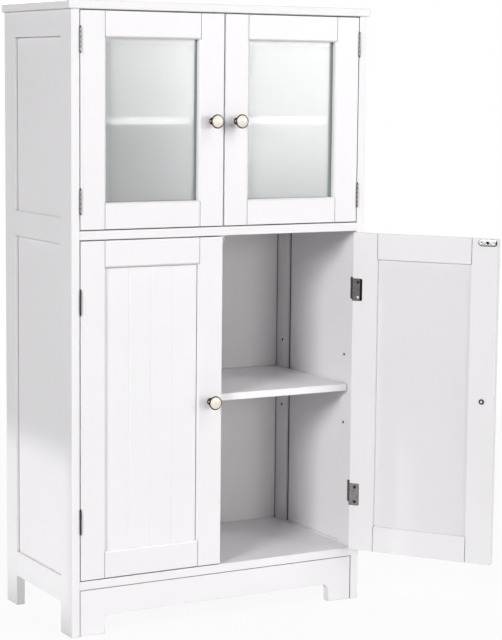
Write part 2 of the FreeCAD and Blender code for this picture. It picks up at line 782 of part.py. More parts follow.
os.makedirs("parts", exist_ok=True)
for name, solids in pieces.items():
    shape = solids[0] if len(solids) == 1 else Part.makeCompound(solids)
    shape.exportStep(os.path.join("parts", name + ".step"))
print(len(pieces), "nodes,", sum(len(solids) for solids in pieces.values()), "solids")
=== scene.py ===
# A tall white cabinet: two frosted glass doors over two beaded doors, the lower right one open.
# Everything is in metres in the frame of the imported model: floor at z 0, doors facing -Y.
import json
import math

import bpy
import numpy as np
from mathutils import Matrix, Vector


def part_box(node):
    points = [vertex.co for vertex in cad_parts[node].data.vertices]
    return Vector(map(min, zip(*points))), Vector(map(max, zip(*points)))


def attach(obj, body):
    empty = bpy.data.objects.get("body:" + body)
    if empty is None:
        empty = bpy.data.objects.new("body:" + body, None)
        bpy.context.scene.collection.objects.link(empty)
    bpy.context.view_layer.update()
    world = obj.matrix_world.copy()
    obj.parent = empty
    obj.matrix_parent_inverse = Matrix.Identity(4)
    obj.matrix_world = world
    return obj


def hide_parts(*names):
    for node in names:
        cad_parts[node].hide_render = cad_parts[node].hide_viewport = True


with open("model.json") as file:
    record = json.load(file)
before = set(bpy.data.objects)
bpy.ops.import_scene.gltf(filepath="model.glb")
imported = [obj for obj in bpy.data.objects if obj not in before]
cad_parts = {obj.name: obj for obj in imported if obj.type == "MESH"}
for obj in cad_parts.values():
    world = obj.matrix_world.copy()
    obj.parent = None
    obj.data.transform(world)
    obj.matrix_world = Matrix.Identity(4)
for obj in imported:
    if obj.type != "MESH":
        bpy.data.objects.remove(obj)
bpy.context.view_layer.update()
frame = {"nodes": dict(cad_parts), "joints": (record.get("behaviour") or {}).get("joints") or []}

nodes = frame["nodes"]
joints = {joint["child"]: joint for joint in frame["joints"]}
mm = 0.001


# Tools that every material and piece shares

def linear(code):
    # sRGB hex to linear light: the low end is a straight line, the rest a 2.4 power
    parts = np.array([int(code[i:i + 2], 16) for i in (1, 3, 5)]) / 255
    light = np.where(parts <= 0.04045, parts / 12.92, ((parts + 0.055) / 1.055) ** 2.4)
    return (*light.tolist(), 1.0)


def put(tree, kind, inputs=None, **settings):
    # adds one node, sets it up, and fills or links its sockets
    node = tree.nodes.new("ShaderNode" + kind)
    for name, value in settings.items():
        setattr(node, name, value)
    for name, value in (inputs or {}).items():
        if isinstance(value, bpy.types.NodeSocket):
            tree.links.new(value, node.inputs[name])
        else:
            node.inputs[name].default_value = value
    return node


def newFinish(name):
    # an empty material, its node tree and its output
    finish = bpy.data.materials.new(name)
    finish.use_nodes = True
    finish.node_tree.nodes.clear()
    return finish, finish.node_tree, put(finish.node_tree, "OutputMaterial")


def wear(finish, *names):
    # gives a finish to CAD nodes by their slots
    for name in names:
        data = nodes[name].data
        data.materials.clear()
        data.materials.append(finish)


def grain(size):
    # texture scale for a feature of that size in millimetres
    return 1 / (size * mm)


def ramp(value, start, length):
    # 0 up to a start, then evenly up to 1 over a length
    return np.clip((value - start) / length, 0, 1)


# Camera, at the photograph's place

view = {
    "place": (-1.6133, -3.0849, 0.9479),
    "turn": 29.565,  # degrees right of straight on to the doors
    "tilt": 7.093,  # degrees down
    "roll": 0.59,
    "lens": 109.58, "film": 36,  # mm, the film on the picture's long side
    "sight": (0.1, 60),  # m, nearest and farthest that it sees
}


def photoCamera():
    turn, tilt, roll = (math.radians(view[key]) for key in ("turn", "tilt", "roll"))
    level = Vector((math.cos(turn), -math.sin(turn), 0))
    ahead = Vector((math.sin(turn) * math.cos(tilt), math.cos(turn) * math.cos(tilt), -math.sin(tilt)))
    up = level.cross(ahead)
    right = level * math.cos(roll) + up * math.sin(roll)
    top = up * math.cos(roll) - level * math.sin(roll)
    data = bpy.data.cameras.new("photoCamera")
    data.lens, data.sensor_width = view["lens"], view["film"]
    data.clip_start, data.clip_end = view["sight"]
    camera = bpy.data.objects.new("photoCamera", data)
    camera.matrix_world = Matrix((right, top, -ahead)).transposed().to_4x4()
    camera.location = view["place"]
    bpy.context.scene.collection.objects.link(camera)
    bpy.context.scene.camera = camera


photoCamera()
print("camera set")


# Light: four soft boxes in front, two behind, all well back, and a low gridded strip on the left

studio = {
    "room": 0.02,  # light from all round
    "aim": (0, -0.1, 0.55),
    "distance": 6.0,
    "boxes": {  # degrees right of the doors' front, degrees up, size in m, watts
        "leftSoftBox": dict(turn=-58, rise=19, size=(1.6, 1.6), power=231),
        "rightSoftBox": dict(turn=39, rise=8.5, size=(2.6, 1.8), power=104),
        "highRightSoftBox": dict(turn=35, rise=50, size=(1.6, 1.6), power=73),
        "frontSoftBox": dict(turn=4, rise=8, size=(1.6, 1.6), power=60),
        "rightBackSoftBox": dict(turn=120, rise=20, size=(1.6, 1.6), power=115),
        "backSoftBox": dict(turn=172, rise=25, size=(1.6, 1.6), power=135),
    },
    "strip": dict(place=(-2.4, 0.285, 0.17), aim=(-0.287, 0.012, 0.17), size=(0.3, 0.28), power=0.068,
                  spread=2.5),  # degrees, so narrow that it lights the foot of the side alone
    "paper": "#d6d6d6",
    "floorRadius": 2.6, "floorRings": 8, "floorSpokes": 64,
    "floorFade": 1.7,  # where the floor starts to melt into the backdrop
    "floorGlow": 0.93,  # share of the floor that shows as plain white
}
white = (1, 1, 1, 1)


def hangLamp(name, place, aim, size, power, spread=180):
    data = bpy.data.lights.new(name, "AREA")
    data.shape, data.size, data.size_y = "RECTANGLE", size[0], size[1]
    data.energy = power
    data.spread = math.radians(spread)  # a grid on the box narrows its beam
    lamp = bpy.data.objects.new(name, data)
    lamp.location = place
    lamp.rotation_euler = (Vector(aim) - Vector(place)).to_track_quat("-Z", "Y").to_euler()
    lamp.visible_camera = False
    bpy.context.scene.collection.objects.link(lamp)


def seenDirectly(tree):
    # 1 for rays that show the backdrop: straight to the lens, off metal, or through glass, and not
    # for light that has already bounced off something matt
    path = put(tree, "LightPath")
    either = put(tree, "Math", {0: path.outputs["Is Camera Ray"], 1: path.outputs["Is Glossy Ray"]},
                 operation="MAXIMUM")
    shown = put(tree, "Math", {0: either.outputs[0], 1: path.outputs["Is Transmission Ray"]},
                operation="MAXIMUM")
    first = put(tree, "Math", {0: path.outputs["Diffuse Depth"], 1: 0.5}, operation="LESS_THAN")
    return put(tree, "Math", {0: shown.outputs[0], 1: first.outputs[0]}, operation="MULTIPLY").outputs[0]


def whiteRoom():
    world = bpy.data.worlds.new("whiteRoom")
    world.use_nodes = True
    tree = world.node_tree
    tree.nodes.clear()
    lit = put(tree, "Background", {"Color": white, "Strength": studio["room"]})
    shown = put(tree, "Background", {"Color": white, "Strength": 1.0})
    both = put(tree, "MixShader", {0: seenDirectly(tree), 1: lit.outputs[0], 2: shown.outputs[0]})
    put(tree, "OutputWorld", {"Surface": both.outputs[0]})
    bpy.context.scene.world = world


def paleFloor():
    # a disc, radius and angle as its two parameters, that fades out before its rim
    rings, spokes = studio["floorRings"], studio["floorSpokes"]
    radius = np.linspace(0, studio["floorRadius"], rings + 1)[1:, None]
    angle = np.linspace(0, 2 * np.pi, spokes, endpoint=False)[None, :]
    ring = np.stack([radius * np.cos(angle), radius * np.sin(angle), 0 * radius * angle], -1).reshape(-1, 3)
    points = np.vstack([[0, 0, 0], ring])
    row, column = np.meshgrid(np.arange(rings - 1), np.arange(spokes), indexing="ij")
    beside = (column + 1) % spokes
    quads = np.stack([row * spokes + column, (row + 1) * spokes + column, (row + 1) * spokes + beside,
                      row * spokes + beside], -1) + 1
    spoke = np.arange(spokes)
    hub = np.stack([0 * spoke, spoke + 1, (spoke + 1) % spokes + 1], -1)
    mesh = bpy.data.meshes.new("paleFloor")
    mesh.from_pydata(points.tolist(), [], hub.tolist() + quads.reshape(-1, 4).tolist())
    floor = bpy.data.objects.new("paleFloor", mesh)
    bpy.context.scene.collection.objects.link(floor)

    finish, tree, out = newFinish("whitePaperSweep")  # matt studio paper
    diffuse = put(tree, "BsdfDiffuse", {"Color": linear(studio["paper"])})
    glow = put(tree, "Emission", {"Color": white, "Strength": 1.0})
    share = put(tree, "Math", {0: seenDirectly(tree), 1: studio["floorGlow"]}, operation="MULTIPLY")
    paper = put(tree, "MixShader", {0: share.outputs[0], 1: diffuse.outputs[0], 2: glow.outputs[0]})
    where = put(tree, "TexCoord")
    reach = put(tree, "VectorMath", {0: where.outputs["Object"]}, operation="LENGTH")
    fade = put(tree, "MapRange", {"Value": reach.outputs["Value"], "From Min": studio["floorFade"],
                                  "From Max": studio["floorRadius"]}, interpolation_type="SMOOTHSTEP")
    clear = put(tree, "BsdfTransparent")
    sheet = put(tree, "MixShader", {0: fade.outputs[0], 1: paper.outputs[0], 2: clear.outputs[0]})
    tree.links.new(sheet.outputs[0], out.inputs["Surface"])
    mesh.materials.append(finish)


def aroundCabinet(turn, rise):
    # a place on a sphere about the cabinet's middle
    turn, rise = math.radians(turn), math.radians(rise)
    way = Vector((math.sin(turn) * math.cos(rise), -math.cos(turn) * math.cos(rise), math.sin(rise)))
    return Vector(studio["aim"]) + way * studio["distance"]


bpy.context.scene.view_settings.view_transform = "Standard"
whiteRoom()
paleFloor()
for boxName, box in studio["boxes"].items():
    hangLamp(boxName, aroundCabinet(box["turn"], box["rise"]), studio["aim"], box["size"], box["power"])
hangLamp("lowLeftStrip", **studio["strip"])
print("studio lit")


# Paint of the carcass, the doors and the shelves

# crease: the tone of the painted shade in creases
lacquer = {
    "carcass": dict(light="#f5f3f5", shade="#f0eef0", rough=0.40, crease=0.75),
    "door": dict(light="#f5f3f5", shade="#f0eef0", rough=0.34, crease=0.75),
    "shelf": dict(light="#fbf9fb", shade="#f6f4f6", rough=0.42, crease=0.6),
    "back": dict(light="#f3f1f2", shade="#edebec", rough=0.48, crease=0.6),
    "bead": dict(light="#f5f3f5", shade="#f0eef0", rough=0.34, crease=0.9),
}
spray = {
    "cloud": 140, "mottle": 9,  # mm
    "peel": 4,  # mm, 1.5 in life, too fine to show
    "peelHeight": 0.15, "peelShare": 0.12,  # mm, and how much of it shows
    "swing": 0.06,  # roughness, up and down
    "creaseReach": 6,  # mm
    "creaseOpenness": (0.15, 0.8), "deep": (0.10, 0.42),  # how open a spot is: where the painted shade of a crease is greyest and where it ends, then the same for a deep gap
    "bare": 0.22,  # tone of the painted shade in a deep gap
    "thin": 0.93, "thinLean": (0.4, 0.6),  # tone of the painted shade on the back of a bead panel, cosines where it starts and is whole
    "arris": 0.8,  # mm, sanded edges
}


def within(tree, where, block):
    # 1 inside a block and 0 outside: a middle and half a width on the axes it names, the same left and right
    at = put(tree, "SeparateXYZ", {"Vector": where})
    inside = None
    for axis, (middle, half) in block.items():
        along = at.outputs[axis]
        if axis == "X":
            along = put(tree, "Math", {0: along}, operation="ABSOLUTE").outputs[0]
        near = put(tree, "Math", {0: along, 1: middle, 2: half}, operation="COMPARE").outputs[0]
        if inside:
            near = put(tree, "Math", {0: near, 1: inside}, operation="MULTIPLY").outputs[0]
        inside = near
    return inside


def sprayedLacquer(name, light, shade, rough, crease, behind=None, hollows=(), spared=()):
    # satin white lacquer sprayed on fibreboard: an even coat with broad clouds and a faint orange peel, with
    # painted shade greyer in the creases and darker in deep gaps, except in spared blocks; if given, painted
    # shade on the side that faces one way, and darker again in hollows as painted shade, each a tone and a
    # block
    finish, tree, out = newFinish(name)
    where = put(tree, "TexCoord").outputs["Object"]
    cloud = put(tree, "TexNoise", {"Vector": where, "Scale": grain(spray["cloud"]), "Detail": 3.0})
    mottle = put(tree, "TexNoise", {"Vector": where, "Scale": grain(spray["mottle"]), "Detail": 2.0})
    peel = put(tree, "TexNoise", {"Vector": where, "Scale": grain(spray["peel"]), "Detail": 1.0})
    coat = put(tree, "Mix", {0: cloud.outputs[0], 6: linear(light), 7: linear(shade)}, data_type="RGBA")
    # painted shade in creases and deep gaps, from how open each spot is
    openness = put(tree, "AmbientOcclusion", {"Distance": spray["creaseReach"] * mm}, samples=8).outputs["AO"]
    creaseShade, bare = (put(tree, "MapRange", {"Value": openness, "From Min": start, "From Max": end,
                                         "To Min": tone, "To Max": 1.0}).outputs[0]
                  for (start, end), tone in ((spray["creaseOpenness"], crease), (spray["deep"], spray["bare"])))
    paintedShade = put(tree, "Math", {0: creaseShade, 1: bare}, operation="MULTIPLY").outputs[0]
    for block in spared:
        paintedShade = put(tree, "Math", {0: paintedShade, 1: within(tree, where, block)}, operation="MAXIMUM").outputs[0]
    # painted shade on the side that faces one way, as in a recess
    if behind:
        facing = put(tree, "NewGeometry").outputs["Normal"]
        own = put(tree, "VectorTransform", {"Vector": facing}, vector_type="NORMAL", convert_from="WORLD",
                  convert_to="OBJECT")
        lean = put(tree, "VectorMath", {0: own.outputs[0], 1: behind}, operation="DOT_PRODUCT")
        starts, whole = spray["thinLean"]
        thin = put(tree, "MapRange", {"Value": lean.outputs["Value"], "From Min": starts, "From Max": whole,
                                      "To Min": 1.0, "To Max": spray["thin"]})
        paintedShade = put(tree, "Math", {0: paintedShade, 1: thin.outputs[0]}, operation="MULTIPLY").outputs[0]
    # painted shade in the hollows: pin holes and seams
    for shadeTone, block in hollows:
        sunk = put(tree, "MapRange", {"Value": within(tree, where, block), "To Min": 1.0, "To Max": shadeTone})
        paintedShade = put(tree, "Math", {0: paintedShade, 1: sunk.outputs[0]}, operation="MULTIPLY").outputs[0]
    colour = put(tree, "VectorMath", {0: coat.outputs[2], 1: paintedShade}, operation="MULTIPLY")
    sheen = put(tree, "MapRange", {"Value": mottle.outputs[0], "To Min": rough - spray["swing"],
                                   "To Max": rough + spray["swing"]})
    arris = put(tree, "Bevel", {"Radius": spray["arris"] * mm}, samples=4)
    bump = put(tree, "Bump", {"Height": peel.outputs[0], "Strength": spray["peelShare"],
                              "Distance": spray["peelHeight"] * mm, "Normal": arris.outputs[0]})
    paint = put(tree, "BsdfPrincipled", {"Base Color": colour.outputs[0], "Roughness": sheen.outputs[0],
                                         "Normal": bump.outputs[0], "IOR": 1.5})
    tree.links.new(paint.outputs[0], out.inputs["Surface"])
    return finish


# blocks in m, middles and half widths: painted shade in the pin holes and seams, and none at the door stiles'
# edges
stileEdge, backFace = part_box("left_back_stile")[0].y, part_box("back_panel")[0].y
pinHoles = [(0.03, {"X": (0.2771, 0.005), "Y": (y, 0.003)}) for y in (-0.107, 0.115)]  # in the posts
panelSeams = [(0.3, {"X": (0.282, 0.0005), "Y": (stileEdge - 0.0009, 0.0009)}),  # by the back posts, outside
              (0.05, {"X": (0.278, 0.0015), "Y": (stileEdge - 0.0017, 0.0017)})]  # and inside
backSeams = [(0.3, {"X": (0.2711, 0.0009), "Y": (backFace, 0.0005)})]  # beside the posts
stileEdges = [{"X": (-corner.x, 1 * mm)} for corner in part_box("upper_left_door_stiles")]
posts = ("left_front_stile", "right_front_stile", "left_back_stile", "right_back_stile")

paints = {part: sprayedLacquer(part + "Lacquer", **lacquer[part]) for part in ("carcass", "door", "shelf")}
paints["upperStile"] = sprayedLacquer("upperStileLacquer", **lacquer["door"], spared=stileEdges)
paints["post"] = sprayedLacquer("postLacquer", **lacquer["carcass"], hollows=pinHoles)
paints["sidePanel"] = sprayedLacquer("sidePanelLacquer", **lacquer["carcass"], hollows=panelSeams)
paints["back"] = sprayedLacquer("backPanelLacquer", **lacquer["back"], hollows=backSeams)
# the back of each bead panel gets painted shade, as its recess is in shadow
for door in ("lower_left_door", "lower_right_door"):
    opened = math.radians(-joints[door]["range_deg"][0])
    paints[door] = sprayedLacquer(door + "BeadLacquer", **lacquer["bead"],
                                  behind=(-math.sin(opened), math.cos(opened), 0))

for name in nodes:
    if name.endswith("door_panel"):
        wear(paints[name[:-len("_panel")]], name)
    elif name.startswith("upper") and name.endswith("stiles"):
        wear(paints["upperStile"], name)
    elif "door" in name and name.endswith(("stiles", "rails")):
        wear(paints["door"], name)
    elif name.endswith("shelf"):
        wear(paints["shelf"], name)
    elif name == "back_panel":
        wear(paints["back"], name)
    elif name in posts:
        wear(paints["post"], name)
    elif name.endswith("side_panels"):
        wear(paints["sidePanel"], name)
    elif name.startswith(("left_", "right_", "top_", "middle_", "bottom_", "front_")):
        wear(paints["carcass"], name)
print("painted")


# Panes of the upper doors

pane = {
    "tint": "#f4f6f6",
    "rough": 0.19, "swing": 0.04, "frontRough": 0.14,
    "etch": 3,  # mm, a tenth in life, too fine to show
    "veil": "#f6f7f7", "veilRough": 0.8,  # the etched skin itself
    # the skin is real; where its share rises below, that rise is painted light
    "lower": (0.04, 0.20),  # share of skin under the shelf: at the far left, and on the right pane
    "step": (0.17, -0.04),  # more just over the shelf: left pane, right pane
    "rise": 0.12,  # and more again at the top
    "headPaintedLight": dict(reach=9.0, share=0.5),  # mm, and the painted light added along the head rail
    "leftPaintedLight": dict(reach=11.0, share=0.2),  # and along the left stile
    "shelf": 0.874, "shelfBlur": 0.015,  # m
    "wide": (0.0486, 0.2233), "tall": (0.738, 1.011),  # m, the panes' clear openings, |x| and z
    "through": 0.25,  # light that spreads right through the skin
    "passed": "#c5c8c7",  # straight through, per face
    "bare": dict(colour="#7d8485", rough=0.5, blur=0.4,  # the margin, an opaque greenish grey of painted shade in place of the dark inside; mm
                 nearMiddle=4.5, left=4.5, right=7.6, foot=1.0),
}


def acidEtchedGlass():
    # float glass etched on one face: a milky skin over a blurred view of the shelf; the skin's share is
    # raised as painted light over the shelf, towards the right, and along the head and the left edge; a
    # narrow margin is an opaque greenish grey, painted shade in place of the dark inside seen through
    # unetched glass
    finish, tree, out = newFinish("acidEtchedGlass")
    where = put(tree, "TexCoord").outputs["Object"]
    at = put(tree, "SeparateXYZ", {"Vector": where})
    across, up = at.outputs["X"], at.outputs["Z"]
    inner, outer = pane["wide"]
    foot, head = pane["tall"]
    gloss = {"Coat Weight": 1.0, "Coat Roughness": pane["frontRough"], "Coat IOR": 1.5}  # the smooth face
    etch = put(tree, "TexNoise", {"Vector": where, "Scale": grain(pane["etch"]), "Detail": 2.0})
    rough = put(tree, "MapRange", {"Value": etch.outputs[0], "To Min": pane["rough"] - pane["swing"],
                                   "To Max": pane["rough"] + pane["swing"]})
    blurred = put(tree, "BsdfPrincipled", {"Base Color": linear(pane["tint"]), "Roughness": rough.outputs[0],
                                           "IOR": 1.5, "Transmission Weight": 1.0, **gloss})
    through = put(tree, "BsdfTranslucent", {"Color": linear(pane["veil"])})
    body = put(tree, "MixShader", {0: pane["through"], 1: blurred.outputs[0], 2: through.outputs[0]})
    veil = put(tree, "BsdfPrincipled", {"Base Color": linear(pane["veil"]), "Roughness": pane["veilRough"],
                                        **gloss})

    lower, step = (put(tree, "MapRange", {"Value": across, "From Min": start, "From Max": inner,
                                          "To Min": pane[key][0], "To Max": pane[key][1]}).outputs[0]
                   for key, start in (("lower", -outer), ("step", -inner)))
    shelf, blur = pane["shelf"], pane["shelfBlur"]
    over = put(tree, "MapRange", {"Value": up, "From Min": shelf - blur, "From Max": shelf + blur},
               interpolation_type="SMOOTHSTEP")
    climb = put(tree, "MapRange", {"Value": up, "From Min": shelf, "From Max": head})
    gain = put(tree, "Math", {0: climb.outputs[0], 1: pane["rise"], 2: step}, operation="MULTIPLY_ADD")
    skinAndPaintedLight = put(tree, "Math", {0: gain.outputs[0], 1: over.outputs[0], 2: lower}, operation="MULTIPLY_ADD")
    headPaintedLight, leftPaintedLight = pane["headPaintedLight"], pane["leftPaintedLight"]
    headLift = put(tree, "MapRange", {"Value": up, "From Min": head - headPaintedLight["reach"] * mm, "From Max": head,
                                  "To Max": headPaintedLight["share"]})
    inPane = put(tree, "Math", {0: across, 1: inner + outer}, operation="FLOORED_MODULO")  # the same in both
    leftLift = put(tree, "MapRange", {"Value": inPane.outputs[0], "From Min": inner,
                                   "From Max": inner + leftPaintedLight["reach"] * mm, "To Min": leftPaintedLight["share"],
                                   "To Max": 0.0})
    for more in (headLift, leftLift):
        skinAndPaintedLight = put(tree, "Math", {0: skinAndPaintedLight.outputs[0], 1: more.outputs[0]}, operation="ADD")
    etched = put(tree, "MixShader", {0: skinAndPaintedLight.outputs[0], 1: body.outputs[0], 2: veil.outputs[0]})

    # margin along the stile edges and the foot: painted shade in place of the dark inside
    bare = pane["bare"]
    aside = put(tree, "Math", {0: across}, operation="ABSOLUTE").outputs[0]
    inside = None
    for along, edge, reach in ((aside, inner, bare["nearMiddle"]), (across, -outer, bare["left"]),
                               (across, outer, -bare["right"]), (up, foot, bare["foot"])):
        before, after = (0.0, 1.0) if reach > 0 else (1.0, 0.0)
        past = put(tree, "MapRange", {"Value": along, "From Min": edge + (reach - bare["blur"]) * mm,
                                      "From Max": edge + (reach + bare["blur"]) * mm,
                                      "To Min": before, "To Max": after}).outputs[0]
        if inside:
            past = put(tree, "Math", {0: past, 1: inside}, operation="MULTIPLY").outputs[0]
        inside = past
    margin = put(tree, "BsdfPrincipled", {"Base Color": linear(bare["colour"]), "Roughness": bare["rough"],
                                          **gloss})
    whole = put(tree, "MixShader", {0: inside, 1: margin.outputs[0], 2: etched.outputs[0]})
    clear = put(tree, "BsdfTransparent", {"Color": linear(pane["passed"])})
    shadow = put(tree, "LightPath").outputs["Is Shadow Ray"]
    both = put(tree, "MixShader", {0: shadow, 1: whole.outputs[0], 2: clear.outputs[0]})
    tree.links.new(both.outputs[0], out.inputs["Surface"])
    return finish


wear(acidEtchedGlass(), "upper_left_door_glass", "upper_right_door_glass")
print("panes etched")


# Metal, plastic and wood of the hidden and half hidden fittings

# edge: the tone of the painted shade and dark reflection along the edges
metals = {
    "zincPlate": dict(light="#efeff0", shade="#d6d6d6", rough=0.36, edge="#3a3836", reach=0.5),
    "magnetSteel": dict(light="#8d8d8d", shade="#6c6c6c", rough=0.35, edge="#4a4a4a", reach=0.4),
    "blackNickel": dict(light="#9a9897", shade="#656463", rough=0.34, edge="#242222", reach=1.8),
    "hingePinSteel": dict(light="#3a3735", shade="#24211f", rough=0.30, edge="#141210", reach=0.6),
}
plating = {
    "patch": 6,  # mm
    "speck": 1.2,  # mm, finer in life, too fine to show
    "swing": 0.07,  # roughness, up and down
    "edgeLean": (0.997, 0.95),  # cosines at which the painted dark of an edge starts and is whole
}
hinge = {
    "reach": (2.2, 3.0),  # mm from the pins' line, barrel up to the first, plate from the second
    "barrel": "#4a4848", "upperBarrel": "#8f8d8c",  # barrels darker than the plates, tarnish and painted shade; paler on the glass doors, painted light
    "split": (0.68, 0.69),  # m, between the lower and the upper doors
    "middles": (0.1997, 0.573, 0.7415, 1.0075),  # m
    "knuckle": dict(height=8.0, gap=1.1, tone="#1c1a1a"),  # mm, and how far the painted shade of a gap spreads
    # painted shade on the plates of the lower doors' upper hinges
    "blacker": dict(level=0.573, half=0.03,  # m
                    share=0.48, rim=(22.6, 23.6), tone="#141313"),  # the rim in mm from the pins' line
}
doorScrew = {
    "levels": (0.6675, 1.0475, 0.1862, 0.2132, 0.5865),  # m, of dark screws: strike plates and some hinges
    "reach": 5, "darkTone": "#2b2928",  # mm up and down
    "ring": (2.0, 5.4), "ringBlur": 0.3, "ringShade": "#4a4745",  # mm from a knob's axis: a ring of painted shade round its bolt's head
}
whiteAbs = dict(colour="#efeeec", rough=0.42, swing=0.05, texture=2)  # mm, finer in life, too fine to show
beech = dict(light="#d9b98f", shade="#b98f62", rough=0.6, streak=1.5, stretch=0.12)  # mm, and its share along


def edgeShare(tree, reach):
    # 1 on edges and 0 on flats: how far a normal blurred over that many millimetres leans from the true one
    blurred = put(tree, "Bevel", {"Radius": reach * mm}, samples=8)
    true = put(tree, "NewGeometry").outputs["True Normal"]
    lean = put(tree, "VectorMath", {0: blurred.outputs[0], 1: true}, operation="DOT_PRODUCT")
    starts, whole = plating["edgeLean"]
    share = put(tree, "MapRange", {"Value": lean.outputs["Value"], "From Min": starts, "From Max": whole})
    return share.outputs[0]


def hingeBarrel(tree, where, plate):
    # darker near the pins' line, for tarnish and painted shade, most of all on the lower doors, as the paler
    # upper barrels are painted light; painted shade in and beside the knuckle gaps; the lower doors' upper
    # hinges have the blackest plates, painted shade
    pin = [abs(part) for part in joints["lower_left_door"]["pos_m"]]
    aside = put(tree, "VectorMath", {0: where}, operation="ABSOLUTE")
    flat = put(tree, "VectorMath", {0: aside.outputs[0], 1: (1, 1, 0)}, operation="MULTIPLY")
    away = put(tree, "VectorMath", {0: flat.outputs[0], 1: (pin[0], pin[1], 0)},
               operation="DISTANCE").outputs["Value"]
    near, far = hinge["reach"]
    outer = put(tree, "MapRange", {"Value": away, "From Min": near * mm, "From Max": far * mm})
    height = put(tree, "SeparateXYZ", {"Vector": where}).outputs["Z"]
    start, end = hinge["split"]
    upper = put(tree, "MapRange", {"Value": height, "From Min": start, "From Max": end})
    barrel = put(tree, "Mix", {0: upper.outputs[0], 6: linear(hinge["barrel"]),
                               7: linear(hinge["upperBarrel"])}, data_type="RGBA").outputs[2]
    level = None
    for middle in hinge["middles"]:
        off = put(tree, "Math", {0: height, 1: middle}, operation="SUBTRACT")
        apart = put(tree, "Math", {0: off.outputs[0]}, operation="ABSOLUTE").outputs[0]
        if level:
            apart = put(tree, "Math", {0: apart, 1: level}, operation="MINIMUM").outputs[0]
        level = apart
    knuckle = hinge["knuckle"]
    along = put(tree, "Math", {0: level, 1: knuckle["height"] * mm}, operation="MODULO")
    gap = put(tree, "Math", {0: along.outputs[0], 1: knuckle["height"] / 2 * mm, 2: knuckle["gap"] * mm},
              operation="COMPARE")
    barrel = put(tree, "Mix", {0: gap.outputs[0], 6: barrel, 7: linear(knuckle["tone"])},
                 data_type="RGBA").outputs[2]
    more = hinge["blacker"]
    here = put(tree, "Math", {0: height, 1: more["level"], 2: more["half"]}, operation="COMPARE")
    start, end = more["rim"]
    rim = put(tree, "MapRange", {"Value": away, "From Min": start * mm, "From Max": end * mm,
                                 "To Min": more["share"], "To Max": 1.0})
    share = put(tree, "Math", {0: here.outputs[0], 1: rim.outputs[0]}, operation="MULTIPLY")
    plate = put(tree, "Mix", {0: share.outputs[0], 6: plate, 7: linear(more["tone"])},
                data_type="RGBA").outputs[2]
    return put(tree, "Mix", {0: outer.outputs[0], 6: barrel, 7: plate}, data_type="RGBA").outputs[2]


def screwTones(tree, where, plate, middle, way):
    # dark screws at some levels, and a dark ring of painted shade round the middle of the bolt through the
    # knob
    height = put(tree, "SeparateXYZ", {"Vector": where}).outputs["Z"]
    for level in doorScrew["levels"]:
        here = put(tree, "Math", {0: height, 1: level, 2: doorScrew["reach"] * mm}, operation="COMPARE")
        plate = put(tree, "Mix", {0: here.outputs[0], 6: plate, 7: linear(doorScrew["darkTone"])},
                    data_type="RGBA").outputs[2]
    reach = put(tree, "VectorMath", {0: where, 1: middle}, operation="SUBTRACT")
    across = put(tree, "VectorMath", {0: reach.outputs[0], 1: way}, operation="CROSS_PRODUCT")
    away = put(tree, "VectorMath", {0: across.outputs[0]}, operation="LENGTH").outputs["Value"]
    (inner, outer), blur = doorScrew["ring"], doorScrew["ringBlur"]
    begun = put(tree, "MapRange", {"Value": away, "From Min": (inner - blur) * mm,
                                   "From Max": (inner + blur) * mm})
    ended = put(tree, "Math", {0: away, 1: outer * mm}, operation="LESS_THAN")
    ring = put(tree, "Math", {0: begun.outputs[0], 1: ended.outputs[0]}, operation="MULTIPLY")
    return put(tree, "Mix", {0: ring.outputs[0], 6: plate, 7: linear(doorScrew["ringShade"])},
               data_type="RGBA").outputs[2]


def platedMetal(name, light, shade, rough, edge, reach, marks=None, **place):
    # stamped or turned metal under thin plate: slightly uneven tone and gloss, and along the edges a painted
    # dark for their shade and the dark they reflect
    finish, tree, out = newFinish(name)
    where = put(tree, "TexCoord").outputs["Object"]
    patch = put(tree, "TexNoise", {"Vector": where, "Scale": grain(plating["patch"]), "Detail": 4.0})
    speck = put(tree, "TexNoise", {"Vector": where, "Scale": grain(plating["speck"]), "Detail": 2.0})
    plate = put(tree, "Mix", {0: patch.outputs[0], 6: linear(light), 7: linear(shade)},
                data_type="RGBA").outputs[2]
    if marks:
        plate = marks(tree, where, plate, **place)
    tone = put(tree, "Mix", {0: edgeShare(tree, reach), 6: plate, 7: linear(edge)}, data_type="RGBA")
    gloss = put(tree, "MapRange", {"Value": speck.outputs[0], "To Min": rough - plating["swing"],
                                   "To Max": rough + plating["swing"]})
    surface = put(tree, "BsdfPrincipled", {"Base Color": tone.outputs[2], "Metallic": 1.0,
                                           "Roughness": gloss.outputs[0]})
    tree.links.new(surface.outputs[0], out.inputs["Surface"])
    return finish


def mouldedAbs():
    # moulded ABS: plain white, with the faint unevenness of the mould in its gloss
    finish, tree, out = newFinish("whiteAbs")
    where = put(tree, "TexCoord").outputs["Object"]
    texture = put(tree, "TexNoise", {"Vector": where, "Scale": grain(whiteAbs["texture"]), "Detail": 2.0})
    rough, swing = whiteAbs["rough"], whiteAbs["swing"]
    gloss = put(tree, "MapRange", {"Value": texture.outputs[0], "To Min": rough - swing,
                                   "To Max": rough + swing})
    body = put(tree, "BsdfPrincipled", {"Base Color": linear(whiteAbs["colour"]),
                                        "Roughness": gloss.outputs[0]})
    tree.links.new(body.outputs[0], out.inputs["Surface"])
    return finish


